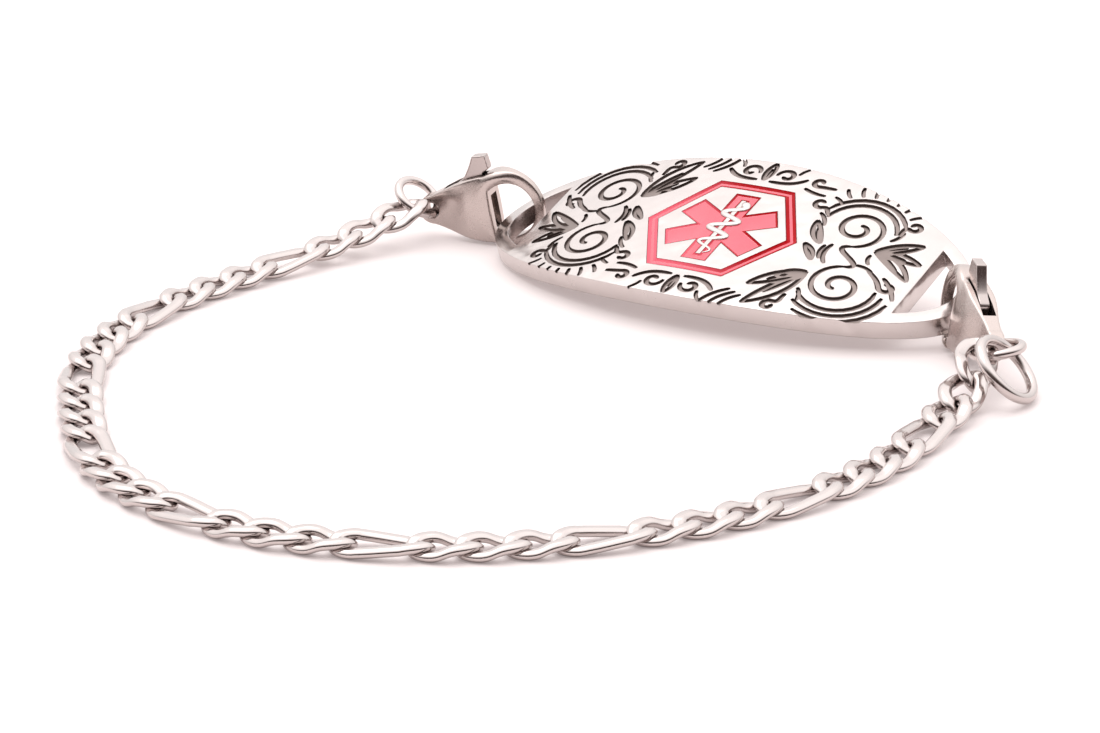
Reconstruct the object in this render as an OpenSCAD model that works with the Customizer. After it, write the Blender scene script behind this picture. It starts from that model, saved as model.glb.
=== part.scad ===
// Medical alert bracelet, lying closed on a table.
// A bent oval plaque with an enamelled emblem is held by two lobster clasps on a flat curb chain.
// Origin: middle of the whole loop, at the height of the table. X runs along the longest side.

/* [Plaque] */
// Length of the plaque, straight across its bend
plaque_length = 40.4; // [38:0.1:42]
// Width of the plaque
plaque_width = 17.4; // [16.6:0.1:18]
// Thickness of the plaque
plaque_thickness = 1.4; // [1.2:0.05:1.6]
// Radius of the bend that follows the wrist
bend_radius = 70; // [60:1:90]
// Width of the rim outside each clasp slot
rim_width = 1.15; // [1.1:0.05:1.4]
// Distance from the middle to the straight edge of a clasp slot
slot_edge = 16.15; // [15.5:0.05:16.4]

/* [Emblem] */
// Radius from the middle to a corner of the enamelled hexagon
hexagon_radius = 6.4; // [6:0.1:6.8]
// Width of the enamel along the sides of the hexagon
border_width = 0.75; // [0.6:0.05:0.9]
// Length of the three crossed bars of the star
bar_length = 8.4; // [7.6:0.1:8.8]
// Width of the three crossed bars
bar_width = 2.1; // [1.8:0.1:2.3]
// Length of the staff that stands in the star
staff_length = 7; // [6:0.1:7.2]
// Width of the staff
staff_width = 0.4; // [0.3:0.05:0.6]
// Thickness of the enamel at the middle of the plaque
enamel_depth = 0.7; // [0.5:0.05:0.8]

/* [Chain] */
// Number of links
link_count = 39; // [30:1:39]
// Every link of this number is a long one
long_every = 4; // [3:1:5]
// Distance between the middles of two short links
short_pitch = 3.04; // [3.02:0.01:3.08]
// Distance between the middles of a short and a long link
mixed_pitch = 4.02; // [4:0.01:4.1]
// Width of a link
link_width = 3.25; // [3.15:0.05:3.4]
// Width of the flattened wire, seen from above
wire_width = 0.85; // [0.75:0.05:0.9]
// Height of the flattened wire
wire_height = 0.5; // [0.4:0.05:0.55]
// How far each side of a link climbs over or dives under its neighbour
twist_rise = 0.33; // [0.32:0.01:0.4]
// Free play between two links along the chain
link_play = 0.24; // [0.2:0.01:0.3]

/* [Clasps] */
// Distance from the middle of the tail eye to the middle of the hook ring
clasp_reach = 6.4; // [6.2:0.1:6.8]
// Outer radius of the hook ring
hook_outer = 3.05; // [2.9:0.05:3.2]
// Inner radius of the hook ring
hook_inner = 2.15; // [2.1:0.05:2.2]
// Thickness of the clasp at its body
clasp_thickness = 2.6; // [2.4:0.1:2.8]
// Outer radius of the tail eye
eye_outer = 1.15; // [1.1:0.05:1.3]
// Radius of the hole in the tail eye
eye_hole = 0.62; // [0.58:0.02:0.66]
// Thickness of the lever
lever_thickness = 0.8; // [0.7:0.05:0.85]
// Radius of the rivet that the lever turns on
rivet_radius = 0.4; // [0.35:0.01:0.42]
// How far the lever is pressed, in degrees; the closed gate is 0
lever_press = 0; // [0:1:20]

/* [Rings] */
// Outer diameter of the two jump rings
jump_ring_diameter = 4.1; // [4:0.1:4.4]
// Wire of the jump rings
jump_ring_wire = 0.7; // [0.6:0.05:0.75]
// Outer diameter of the spare ring at the end of the chain
end_ring_diameter = 5.7; // [5.4:0.1:6]
// Wire of the spare ring
end_ring_wire = 0.8; // [0.7:0.05:0.9]

/* [Hidden] */
link_names = [for (i = [1 : link_count]) str("link_", i < 10 ? "0" : "", i)];
$fn = 96;
steel = "#dcd6d5";
dark_steel = "#b5acab";
enamel = "#f3788c";
tiny = 0.01;
// Longer than any cut has to be
through = 20;

// The enamel stands clear of its pocket's walls and lies a little lower than the rim
enamel_play = 0.02;
enamel_dip = 0.03;

// Where the middle of the loop lies in the layout below
layout_middle = [-0.47, -1.78, -0.01];
// Top of the plaque's middle, and its turn: the far edge is raised and the right end is nearer
plaque_place = [12.77, 14.03, 5.5];
plaque_turn = [17.94, -1, -34.43];
// Tail eyes of the clasps, with the turn that leads from there to the hook ring
left_clasp_place = [-8.7, 29.75, 2.25];
left_clasp_turn = [5, -8, -24.5];
right_clasp_place = [30.75, -4.14, 2.51];
right_clasp_turn = [7.9, -6, 104.2];
left_ring_place = [-9.97, 29.91, 3.1];
left_ring_turn = [38.2, 0, 55];
right_ring_place = [30.99, -5.66, 2.73];
right_ring_turn = [12.3, -1.4, -123.3];
end_ring_place = [31.3, -8.32, 2.26];
end_ring_turn = [45.4, 0, 66.9];

// Layout of the chain: heading of each step, height and roll of each link, by link number
chain_start = [-11.35, 27.7];
flat_height = twist_rise + wire_height / 2;
step_headings = [[1, 213], [2, 214], [4, 221], [6, 227], [10, 258], [12, 274], [15, 282], [19, 315],
                 [23, 347], [27, 371], [31, 394], [35, 419], [38, 427], [39, 445]];
link_heights = [[1, 2.5], [2, 1.8], [3, 1.25], [4, 0.88], [5, 0.7], [6, 0.62], [7, flat_height],
                [34, flat_height], [35, flat_height + 0.02], [36, 0.72], [37, 0.85], [38, 1.25], [39, 2.3]];
link_rolls = [[1, -12], [3, 0], [37, 0], [38, 12], [39, 30]];
link_lifts = [[38, 0], [39, 6]];

// One link: stations round its centre line, and the corners of the flattened wire
station_count = 16;
end_radius = (short_pitch + link_play + wire_width) / 2;
side_radius = (link_width - wire_width) / 2;
long_stretch = mixed_pitch - short_pitch;
wire_flat = 0.6 * wire_width;
wire_section = [[wire_width, 0], [wire_flat, wire_height], [-wire_flat, wire_height],
                [-wire_width, 0], [-wire_flat, -wire_height], [wire_flat, -wire_height]] / 2;
twist_plateau = 1.35;

// Side view of the clasp, measured from the middle of its tail eye
hook_centre = [clasp_reach, 0, 0];
hollow_centre = [clasp_reach + 0.2, 0, -0.15];
body_front = 5.3;
channel_width = lever_thickness + 0.2;
channel_back = 1.3;
channel_front = 5.1;
channel_roof = 1.1;
rivet_place = [3.6, 0, -0.9];
rivet_play = 0.05;
hook_start = -125;
hook_end = 130;
gate_end = -90;
gate_start = -165;
gate_reach = 2.73;
gate_play = 0.08;
lever_boss = 0.95;
lever_inset = 0.05;
// The hook and the gate are cut from a ring with this inner radius
ring_core = 1.5;
eye_blend = [0.35, eye_outer - 0.06];
body_side = [eye_blend, [eye_blend.x, -eye_blend.y], [1.6, -1.65], [3, -2.25], [4.4, -2.6],
             [body_front, -2.7], [body_front, 2.75], [4.4, 2.6], [3, 2.2], [1.6, 1.6]];
// The lever's back runs flush with the body's and rises to the thumb rest
lever_side = [[2.7, -1.2], [2.45, 0.4], [2.35, 1.85], [3.1, 2.45], [3.7, 3.3], [4.2, 4.25], [5.3, 4.3],
              [5.45, 3.2], [4.9, 2.9], [4.9, 2.6], [4.6, 1], [4.5, -0.6], [4.7, -1.7], [3.6, -1.85]];
// Seen from above: half the thickness along the clasp
clasp_plan = [[-2, 0.55], [0.9, 0.65], [3, clasp_thickness / 2], [5.4, clasp_thickness / 2],
              [clasp_reach, 0.8], [8.2, 0.42], [10, 0.38]];

function is_long(i) = i % long_every == 0;
function pitch_after(i) = is_long(i) || is_long(i + 1) ? mixed_pitch : short_pitch;
function heading_after(i) = lookup(i, step_headings);
function height_of(i) = lookup(i, link_heights);
function climb_after(i) = asin((height_of(i + 1) - height_of(i)) / pitch_after(i));
function link_heading(i) = (heading_after(i - 1) + heading_after(i)) / 2;
function link_climb(i) = (climb_after(max(1, i - 1)) + climb_after(min(i, link_count - 1))) / 2
    + lookup(i, link_lifts);
function step_length(i) = pitch_after(i) * cos(climb_after(i));
function step_after(i) = step_length(i) * [cos(heading_after(i)), sin(heading_after(i))];
function link_spot(i) = i == 1 ? chain_start : link_spot(i - 1) + step_after(i - 1);
function link_place(i) = [link_spot(i).x, link_spot(i).y, height_of(i)];

function link_rise(t) = -twist_rise * max(-1, min(1, twist_plateau * sin(2 * t)));
function station(t, stretch) =
    [stretch * sign(cos(t)) + end_radius * cos(t), side_radius * sin(t), link_rise(t)];
function outward(a, b) = [b.y - a.y, a.x - b.x, 0] / norm([b.x - a.x, b.y - a.y]);
function mirrored(plan) = [for (k = [len(plan) - 1 : -1 : 0]) [plan[k].x, -plan[k].y]];

function ellipse(a, b, n = 120) = [for (k = [0 : n - 1]) [a * cos(360 * k / n), b * sin(360 * k / n)]];

// Puts the layout's middle over the origin
module on_table() translate(-layout_middle) children();

module placed(place, turn) on_table() translate(place) rotate(turn) children();

// A slab bent over the wrist, whose top lies the given distance under the plaque's top
module bent_layer(under, thickness) {
    translate([0, plaque_width, -bend_radius]) rotate([90, 0, 0]) difference() {
        cylinder(r = bend_radius - under, h = 2 * plaque_width, $fn = 360);
        translate([0, 0, -through]) cylinder(r = bend_radius - under - thickness, h = 4 * through, $fn = 360);
    }
}

// Upright block with an elliptic outline, tall enough to cut the whole bend
module oval_block(a, b) linear_extrude(through, center = true) polygon(ellipse(a, b));

module clasp_slot() intersection() {
    oval_block(plaque_length / 2 - rim_width, plaque_width / 2 - rim_width);
    translate([slot_edge + plaque_length / 2, 0, 0])
        cube([plaque_length, 2 * plaque_width, through], center = true);
}

module hexagon_ring(play) translate([0, 0, -enamel_depth - play]) difference() {
    cylinder(r = hexagon_radius + play, h = through, $fn = 6);
    cylinder(r = hexagon_radius - border_width / cos(30) - play, h = 3 * through, center = true, $fn = 6);
}

module staff(play) cube([staff_width + 2 * play, staff_length + 2 * play, 3 * through], center = true);

// Three crossed bars, with the staff left standing in the middle
module star_block(play) difference() {
    for (turn = [30, 90, 150]) rotate(turn)
        translate([-bar_length / 2 - play, -bar_width / 2 - play, -enamel_depth - play])
            cube([bar_length + 2 * play, bar_width + 2 * play, through]);
    staff(-play);
}

module plaque() color(steel) placed(plaque_place, plaque_turn) difference() {
    intersection() {
        bent_layer(0, plaque_thickness);
        oval_block(plaque_length / 2, plaque_width / 2);
    }
    clasp_slot();
    mirror([1, 0, 0]) clasp_slot();
    hexagon_ring(enamel_play);
    star_block(enamel_play);
}

module enamel_border() color(enamel) placed(plaque_place, plaque_turn) intersection() {
    bent_layer(enamel_dip, 2 * plaque_thickness);
    hexagon_ring(-enamel_play);
}

module enamel_star() color(enamel) placed(plaque_place, plaque_turn) intersection() {
    bent_layer(enamel_dip, 2 * plaque_thickness);
    star_block(-enamel_play);
}

// One link of flattened wire, twisted so that it lies flat beside its neighbours
module link(stretch) {
    turns = [for (k = [0 : station_count - 1]) 360 * (k + 0.5) / station_count];
    spots = [for (t = turns) station(t, stretch)];
    n = station_count;
    m = len(wire_section);
    corners = [for (k = [0 : n - 1]) let (way = outward(spots[(k + n - 1) % n], spots[(k + 1) % n]))
               for (c = wire_section) spots[k] + c.x * way + [0, 0, c.y]];
    faces = [for (k = [0 : n - 1]) for (j = [0 : m - 1])
             let (a = k * m + j, b = k * m + (j + 1) % m, next = ((k + 1) % n) * m)
             let (c = next + (j + 1) % m, d = next + j) each [[a, c, d], [a, b, c]]];
    polyhedron(corners, faces);
}

module chain_link(i) color(steel)
    placed(link_place(i), [lookup(i, link_rolls), -link_climb(i), link_heading(i)])
        link(is_long(i) ? long_stretch : 0);

// Round bar along the clasp's thickness
module cross_bar(radius, thickness) rotate([90, 0, 0]) cylinder(r = radius, h = thickness, center = true);

// Flat shape drawn in the side view, given a thickness about the clasp's middle plane
module side_plate(outline, thickness) rotate([90, 0, 0])
    linear_extrude(thickness, center = true) polygon(outline);

// Part of a flat ring in the clasp's plane, between two angles counted from the hook's far side
module ring_part(outer, thickness, from, to) translate(hook_centre) rotate([90, 0, 0])
    translate([0, 0, -thickness / 2]) rotate_extrude(angle = to - from, start = from)
        translate([ring_core, 0]) square([outer - ring_core, thickness]);

module hook() difference() {
    ring_part(hook_outer, 2 * clasp_thickness, hook_start, hook_end);
    translate(hollow_centre) cross_bar(hook_inner, through);
    translate(rivet_place) cross_bar(gate_reach + gate_play, through);
}

// Slot that the lever moves in: open below and through the top behind the body's front wall
module lever_channel() {
    translate([channel_back, -channel_width / 2, -through / 2])
        cube([channel_front - channel_back, channel_width, through]);
    translate([channel_back, -channel_width / 2, channel_roof - through])
        cube([body_front + tiny - channel_back, channel_width, through]);
}

module clasp_body_shape() {
    difference() {
        intersection() {
            linear_extrude(through, center = true) polygon(concat(clasp_plan, mirrored(clasp_plan)));
            union() {
                cross_bar(eye_outer, 2 * clasp_thickness);
                side_plate(body_side, 2 * clasp_thickness);
                hook();
            }
        }
        cross_bar(eye_hole, through);
        lever_channel();
    }
    translate(rivet_place) cross_bar(rivet_radius, channel_width + 2 * tiny);
}

// The gate is cut by one arc about the rivet, so it swings in past the hook's tip
module gate() difference() {
    intersection() {
        ring_part(hook_outer - lever_inset, lever_thickness, gate_start, gate_end);
        translate(rivet_place) cross_bar(gate_reach, through);
    }
    translate(hollow_centre) cross_bar(hook_inner, through);
}

module clasp_lever_shape() translate(rivet_place) rotate([0, -lever_press, 0]) translate(-rivet_place)
    difference() {
        union() {
            translate(rivet_place) cross_bar(lever_boss, lever_thickness);
            side_plate(lever_side, lever_thickness);
            gate();
        }
        translate(rivet_place) cross_bar(rivet_radius + rivet_play, through);
    }

module left_clasp_body() color(steel) placed(left_clasp_place, left_clasp_turn) clasp_body_shape();
module right_clasp_body() color(steel) placed(right_clasp_place, right_clasp_turn) clasp_body_shape();
module left_clasp_lever() color(dark_steel) placed(left_clasp_place, left_clasp_turn) clasp_lever_shape();
module right_clasp_lever() color(dark_steel) placed(right_clasp_place, right_clasp_turn) clasp_lever_shape();

module wire_ring(diameter, wire) rotate_extrude()
    translate([(diameter - wire) / 2, 0]) circle(d = wire, $fn = 32);

module left_jump_ring() color(steel)
    placed(left_ring_place, left_ring_turn) wire_ring(jump_ring_diameter, jump_ring_wire);
module right_jump_ring() color(steel)
    placed(right_ring_place, right_ring_turn) wire_ring(jump_ring_diameter, jump_ring_wire);
module end_ring() color(steel)
    placed(end_ring_place, end_ring_turn) wire_ring(end_ring_diameter, end_ring_wire);

plaque();
enamel_border();
enamel_star();
left_clasp_body();
left_clasp_lever();
right_clasp_body();
right_clasp_lever();
left_jump_ring();
right_jump_ring();
end_ring();
for (i = [1 : link_count])
    chain_link(i);
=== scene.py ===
# %% [markdown]
# # A medical alert bracelet in polished steel
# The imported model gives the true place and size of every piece. This lesson loads it, keeps it as a
# fixed frame, and dresses it piece by piece: chain, rings, plaque, enamel and clasps. Small jewellery
# is modelled in millimetres here, because Blender's tools are tuned for sizes near one unit, and each
# finished mesh is scaled to metres once, when it is put in its place.

# %% Load the frame
import math

import bmesh
import bpy
from mathutils import Euler, Matrix, Vector


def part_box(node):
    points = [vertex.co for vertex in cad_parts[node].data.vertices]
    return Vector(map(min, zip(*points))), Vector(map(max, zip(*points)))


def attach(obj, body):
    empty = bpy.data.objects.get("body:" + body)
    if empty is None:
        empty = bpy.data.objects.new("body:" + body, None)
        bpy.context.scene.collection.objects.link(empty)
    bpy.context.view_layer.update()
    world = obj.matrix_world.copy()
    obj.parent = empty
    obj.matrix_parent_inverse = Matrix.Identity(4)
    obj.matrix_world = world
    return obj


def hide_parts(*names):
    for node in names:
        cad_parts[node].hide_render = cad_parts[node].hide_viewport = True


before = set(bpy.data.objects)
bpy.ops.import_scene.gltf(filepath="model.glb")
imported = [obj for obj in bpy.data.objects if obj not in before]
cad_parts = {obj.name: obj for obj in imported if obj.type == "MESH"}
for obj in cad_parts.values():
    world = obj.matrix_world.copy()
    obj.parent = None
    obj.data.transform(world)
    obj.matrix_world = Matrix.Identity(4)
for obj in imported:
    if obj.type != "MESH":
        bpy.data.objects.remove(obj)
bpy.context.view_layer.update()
MM = 0.001


# %% [markdown]
# ## Layout
# Every piece has a place in millimetres and a turn in degrees about X, Y and Z. Both come from the
# construction's own layout, so a piece that is modelled flat and straight lands exactly on the solid
# that it dresses. The construction moves its loop to the middle of the table at the end, and the same
# small move is made here.

# %% Placing helpers
LOOP_MIDDLE = Vector((-0.47, -1.78, -0.01))


def deselect_all():
    """The frame arrives selected, and an operator would act on it, so everything is let go first."""
    if bpy.context.mode != "OBJECT":
        bpy.ops.object.mode_set(mode="OBJECT")
    bpy.ops.object.select_all(action="DESELECT")


def make_active(piece):
    deselect_all()
    piece.select_set(True)
    bpy.context.view_layer.objects.active = piece


def layout_matrix(place, turn):
    """Turned about X, then Y, then Z, moved to its place, and the loop's middle put over the origin."""
    turned = Euler([math.radians(angle) for angle in turn], "XYZ").to_matrix().to_4x4()
    return Matrix.Translation(Vector(place) - LOOP_MIDDLE) @ turned


def put(piece, place, turn):
    """Moves a mesh from its own millimetre frame to its place on the bracelet, in metres."""
    piece.data.transform(Matrix.Scale(MM, 4) @ layout_matrix(place, turn))


def copied(master, name):
    piece = master.copy()
    piece.data = master.data.copy()
    piece.name = name
    piece.data.name = name
    bpy.context.scene.collection.objects.link(piece)
    return piece


def apply_modifiers(piece):
    make_active(piece)
    for modifier in list(piece.modifiers):
        bpy.ops.object.modifier_apply(modifier=modifier.name)


def smooth(piece, angle=180):
    """Shades a piece smooth, but for the edges that are sharper than the angle."""
    make_active(piece)
    bpy.ops.object.shade_smooth_by_angle(angle=math.radians(angle))


def mend(piece, near=0.0005):
    """Merges doubled corners and turns every face outwards."""
    make_active(piece)
    bpy.ops.object.mode_set(mode="EDIT")
    bpy.ops.mesh.select_all(action="SELECT")
    bpy.ops.mesh.remove_doubles(threshold=near)
    bpy.ops.mesh.normals_make_consistent(inside=False)
    bpy.ops.object.mode_set(mode="OBJECT")


def corners(piece):
    """The two opposite corners of the box round a mesh."""
    xyz = [[vertex.co[axis] for vertex in piece.data.vertices] for axis in range(3)]
    return [min(values) for values in xyz], [max(values) for values in xyz]


def dress(piece, material, body, node):
    """Gives a placed piece its material and its body, and hides the CAD node that it stands for.
    Returns how many millimetres the corners of its box are from those of the node's box."""
    if not piece.data.materials:
        piece.data.materials.append(material)
    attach(piece, body)
    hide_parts(node)
    off = max((Vector(a) - Vector(b)).length for a, b in zip(corners(piece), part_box(node)))
    return round(off / MM, 3)


# %% [markdown]
# ## Camera
# The camera was fitted to the outline of the plaque, its hexagon and the chain: it stands 283 mm away,
# 20.4 degrees above the table, with a long lens and a very small roll. A long lens keeps the near and
# far links almost equal in size.

# %% Camera
CAMERA_DISTANCE = 282.92
CAMERA_ELEVATION = math.radians(20.38)
CAMERA_ROLL = math.radians(-1.068)
CAMERA_LENS = 130.9
CAMERA_NEAREST = 10

sideways = Vector((1, 0, 0))
toward = Vector((0, math.cos(CAMERA_ELEVATION), -math.sin(CAMERA_ELEVATION)))
level_up = Vector((0, math.sin(CAMERA_ELEVATION), math.cos(CAMERA_ELEVATION)))
right = sideways * math.cos(CAMERA_ROLL) + level_up * math.sin(CAMERA_ROLL)
up = level_up * math.cos(CAMERA_ROLL) - sideways * math.sin(CAMERA_ROLL)
stand = (-toward * CAMERA_DISTANCE - LOOP_MIDDLE) * MM

camera = bpy.data.objects.new("camera", bpy.data.cameras.new("camera"))
bpy.context.scene.collection.objects.link(camera)
camera.matrix_world = Matrix((
    (right.x, up.x, -toward.x, stand.x),
    (right.y, up.y, -toward.y, stand.y),
    (right.z, up.z, -toward.z, stand.z),
    (0, 0, 0, 1)))
camera.data.lens = CAMERA_LENS
camera.data.clip_start = CAMERA_NEAREST * MM
bpy.context.scene.camera = camera
print("camera at", [round(v / MM, 1) for v in stand])

# %% [markdown]
# ## Node helpers
# Short functions keep the shader trees readable. Some put down one node with its inputs, others start
# a material or a node group, or use a group with its own values. All patterns read Object coordinates,
# so they stay fixed to the metal.

# %% Node helpers
def feed(tree, value, socket):
    """Links another node's output to a socket, or sets a plain value on it."""
    if hasattr(value, "links"):
        tree.links.new(value, socket)
    else:
        socket.default_value = value


def math_node(tree, operation, *values):
    node = tree.nodes.new("ShaderNodeMath")
    node.operation = operation
    for socket, value in zip(node.inputs, values):
        feed(tree, value, socket)
    return node.outputs[0]


def map_range(tree, value, from_low, from_high, to_low, to_high):
    node = tree.nodes.new("ShaderNodeMapRange")
    limits = {"From Min": from_low, "From Max": from_high, "To Min": to_low, "To Max": to_high}
    tree.links.new(value, node.inputs["Value"])
    for label, number in limits.items():
        node.inputs[label].default_value = number
    return node.outputs["Result"]


def mixed(tree, factor, first, second):
    """A colour between two others, each of them a plain colour or another node's output."""
    node = tree.nodes.new("ShaderNodeMix")
    node.data_type = "RGBA"
    feed(tree, first, node.inputs["A"])
    feed(tree, second, node.inputs["B"])
    tree.links.new(factor, node.inputs["Factor"])
    return node.outputs["Result"]


def noise(tree, scale, detail=2, where=None):
    """Soft noise from 0 to 1 over the object, or over other coordinates."""
    node = tree.nodes.new("ShaderNodeTexNoise")
    node.inputs["Scale"].default_value = scale
    node.inputs["Detail"].default_value = detail
    if where is None:
        where = tree.nodes.new("ShaderNodeTexCoord").outputs["Object"]
    tree.links.new(where, node.inputs["Vector"])
    return node.outputs[0]


def new_group(name, inputs, outputs):
    """A node group; each input has a label, its lowest and highest value, and a first value."""
    group = bpy.data.node_groups.new(name, "ShaderNodeTree")
    for label, low, high, value in inputs:
        socket = group.interface.new_socket(name=label, in_out="INPUT", socket_type="NodeSocketFloat")
        socket.default_value, socket.min_value, socket.max_value = value, low, high
    for label in outputs:
        group.interface.new_socket(name=label, in_out="OUTPUT", socket_type="NodeSocketFloat")
    return group, group.nodes.new("NodeGroupInput"), group.nodes.new("NodeGroupOutput")


def use_group(tree, group, **values):
    node = tree.nodes.new("ShaderNodeGroup")
    node.node_tree = group
    for label, value in values.items():
        node.inputs[label].default_value = value
    return node


def new_material(name, values):
    """A material, its tree and its shader, with plain values on the shader's own sockets."""
    material = bpy.data.materials.new(name)
    material.use_nodes = True
    shader = material.node_tree.nodes["Principled BSDF"]
    for label, value in values.items():
        shader.inputs[label].default_value = value
    return material, material.node_tree, shader


# %% [markdown]
# ## Floor and light
# Polished metal shows its surroundings more than itself. In a white room with a darker side behind the
# camera, faces that look up stay bright, and faces that look at the viewer turn to a warm grey. The
# world is that room: a soft gradient by direction. One broad lamp adds a gentle shadow.

# %% Floor
FLOOR_SIZE = 4.0
FLOOR_LOOK = {
    "Base Color": (0.66, 0.61, 0.605, 1),
    "Emission Color": (1.0, 0.87, 0.86, 1),
    "Emission Strength": 0.27,
    "Roughness": 0.7}

bpy.ops.mesh.primitive_plane_add(size=FLOOR_SIZE, location=(0, 0, 0))
floor = bpy.context.object
floor.name = "floor"
floor.data.materials.append(new_material("white table", FLOOR_LOOK)[0])
print("floor:", FLOOR_SIZE, "m wide")

# %% Soft room
ROOM_DIM = (0.07, 0.05, 0.047, 1)
ROOM_BRIGHT = (1.0, 0.985, 0.98, 1)
ROOM_FADE = (0.36, 0.68)
HEIGHT_WEIGHT = 0.9
LEVEL_STRENGTH = 1.02
OVERHEAD_STRENGTH = 1.785
OVERHEAD_FROM = 0.8

bpy.context.scene.view_settings.view_transform = "Standard"
world = bpy.data.worlds.new("soft room")
bpy.context.scene.world = world
world.use_nodes = True
room_tree = world.node_tree
background = room_tree.nodes["Background"]
direction = room_tree.nodes.new("ShaderNodeTexCoord")
split = room_tree.nodes.new("ShaderNodeSeparateXYZ")
ramp = room_tree.nodes.new("ShaderNodeValToRGB")
room_tree.links.new(direction.outputs["Generated"], split.inputs[0])
lean = math_node(room_tree, "MULTIPLY_ADD", split.outputs["Z"], HEIGHT_WEIGHT, split.outputs["Y"])
room_tree.links.new(map_range(room_tree, lean, -1, 1, 0, 1), ramp.inputs[0])
for element, position, colour in zip(ramp.color_ramp.elements, ROOM_FADE, (ROOM_DIM, ROOM_BRIGHT)):
    element.position = position
    element.color = colour
room_tree.links.new(ramp.outputs["Color"], background.inputs["Color"])
strength = map_range(room_tree, split.outputs["Z"], 0, OVERHEAD_FROM, LEVEL_STRENGTH, OVERHEAD_STRENGTH)
room_tree.links.new(strength, background.inputs["Strength"])
print("room strength:", LEVEL_STRENGTH, "at the table's level,", OVERHEAD_STRENGTH, "overhead")

# %% Lamp
LAMP_PLACE = Vector((-0.15, 0.1, 0.6))
LAMP_SIZE = 0.5
LAMP_POWER = 1.0

lamp = bpy.data.objects.new("overhead lamp", bpy.data.lights.new("overhead lamp", "AREA"))
bpy.context.scene.collection.objects.link(lamp)
lamp.data.size = LAMP_SIZE
lamp.data.energy = LAMP_POWER
lamp.location = LAMP_PLACE
lamp.rotation_euler = (-LAMP_PLACE).to_track_quat("-Z", "Y").to_euler()
print("lamp:", LAMP_POWER, "W from", round(LAMP_PLACE.length, 2), "m away")

# %% [markdown]
# ## Polished steel
# Stainless steel that is polished on a wheel keeps hairline scratches and faint clouds where the polish
# is uneven. Both change over the surface, so they sit in one shader group that every steel part uses
# with its own values. A second group finds the recesses, and the steels darken their colour there: a
# painted shade, where the links and the hollows shade each other. The plaque is stamped and rubbed as
# well, so it gets shallow waves, and its edges seem to roll over.

# %% Wheel polish group
CLOUD_SCALE = 350
CLOUD_RANGE = (0.3, 0.7)
HAIRLINE_TURN = (0.3, 0.2, 0.7)
HAIRLINE_SCALE = (900, 14000, 14000)
HAIRLINE_RANGE = (0.45, 0.75)

wheel_polish, polish_in, polish_out = new_group(
    "wheel polish",
    [("Roughness", 0, 1, 0.2), ("Clouds", 0, 1, 0.08), ("Hairlines", 0, 1, 0.1)],
    ["Roughness", "Height"])
coordinates = wheel_polish.nodes.new("ShaderNodeTexCoord")
stretched = wheel_polish.nodes.new("ShaderNodeMapping")
stretched.inputs["Rotation"].default_value = HAIRLINE_TURN
stretched.inputs["Scale"].default_value = HAIRLINE_SCALE
wheel_polish.links.new(coordinates.outputs["Object"], stretched.inputs["Vector"])
hairlines = noise(wheel_polish, 1, where=stretched.outputs["Vector"])
clouds = noise(wheel_polish, CLOUD_SCALE, detail=3)
cloud_mask = map_range(wheel_polish, clouds, *CLOUD_RANGE, -1, 1)
hair_mask = map_range(wheel_polish, hairlines, *HAIRLINE_RANGE, 0, 1)
cloud_part = math_node(wheel_polish, "MULTIPLY", cloud_mask, polish_in.outputs["Clouds"])
hair_part = math_node(wheel_polish, "MULTIPLY", hair_mask, polish_in.outputs["Hairlines"])
uneven = math_node(wheel_polish, "ADD", cloud_part, hair_part)
rough_sum = math_node(wheel_polish, "ADD", polish_in.outputs["Roughness"], uneven)
wheel_polish.links.new(rough_sum, polish_out.inputs["Roughness"])
wheel_polish.links.new(hairlines, polish_out.inputs["Height"])
print("wheel polish:", len(wheel_polish.nodes), "nodes")

# %% Recess group
OCCLUSION_SAMPLES = 8
SHADE_STARTS = 0.35
SHADE_FULL = 0.95

# Painted shade: the occlusion mask says how far a point lies in a recess, where shade falls, and the
# materials darken their colour by it.
recess, recess_in, recess_out = new_group(
    "painted recess shade", [("Reach", 0, 0.01, 0.0006), ("Amount", 0, 1, 0.5)], ["Mask"])
hollow = recess.nodes.new("ShaderNodeAmbientOcclusion")
hollow.samples = OCCLUSION_SAMPLES
recess.links.new(recess_in.outputs["Reach"], hollow.inputs["Distance"])
shut = math_node(recess, "SUBTRACT", 1, hollow.outputs["AO"])
deep = map_range(recess, shut, SHADE_STARTS, SHADE_FULL, 0, 1)
recess_mask = math_node(recess, "MULTIPLY", deep, recess_in.outputs["Amount"])
recess.links.new(recess_mask, recess_out.inputs["Mask"])
print("painted recess shade:", len(recess.nodes), "nodes")

# %% Steel
STEEL = (0.58, 0.52, 0.505, 1)
RECESS_SHADE_COLOUR = (0.1, 0.055, 0.05, 1)
SCRATCH_STRENGTH = 0.02
SCRATCH_DEPTH = 0.02 * MM
WAVE_SCALE = 520
WAVE_HEIGHT = 0.12 * MM
WORN_EDGE = 0.1 * MM
WORN_SAMPLES = 4


def worn_normal(tree):
    """Stamped and rubbed metal: broad shallow waves, and edges that roll over."""
    edges = tree.nodes.new("ShaderNodeBevel")
    edges.samples = WORN_SAMPLES
    edges.inputs["Radius"].default_value = WORN_EDGE
    waves = tree.nodes.new("ShaderNodeBump")
    waves.inputs["Strength"].default_value = 1
    waves.inputs["Distance"].default_value = WAVE_HEIGHT
    tree.links.new(noise(tree, WAVE_SCALE, detail=1), waves.inputs["Height"])
    tree.links.new(edges.outputs["Normal"], waves.inputs["Normal"])
    return waves.outputs["Normal"]


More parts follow.
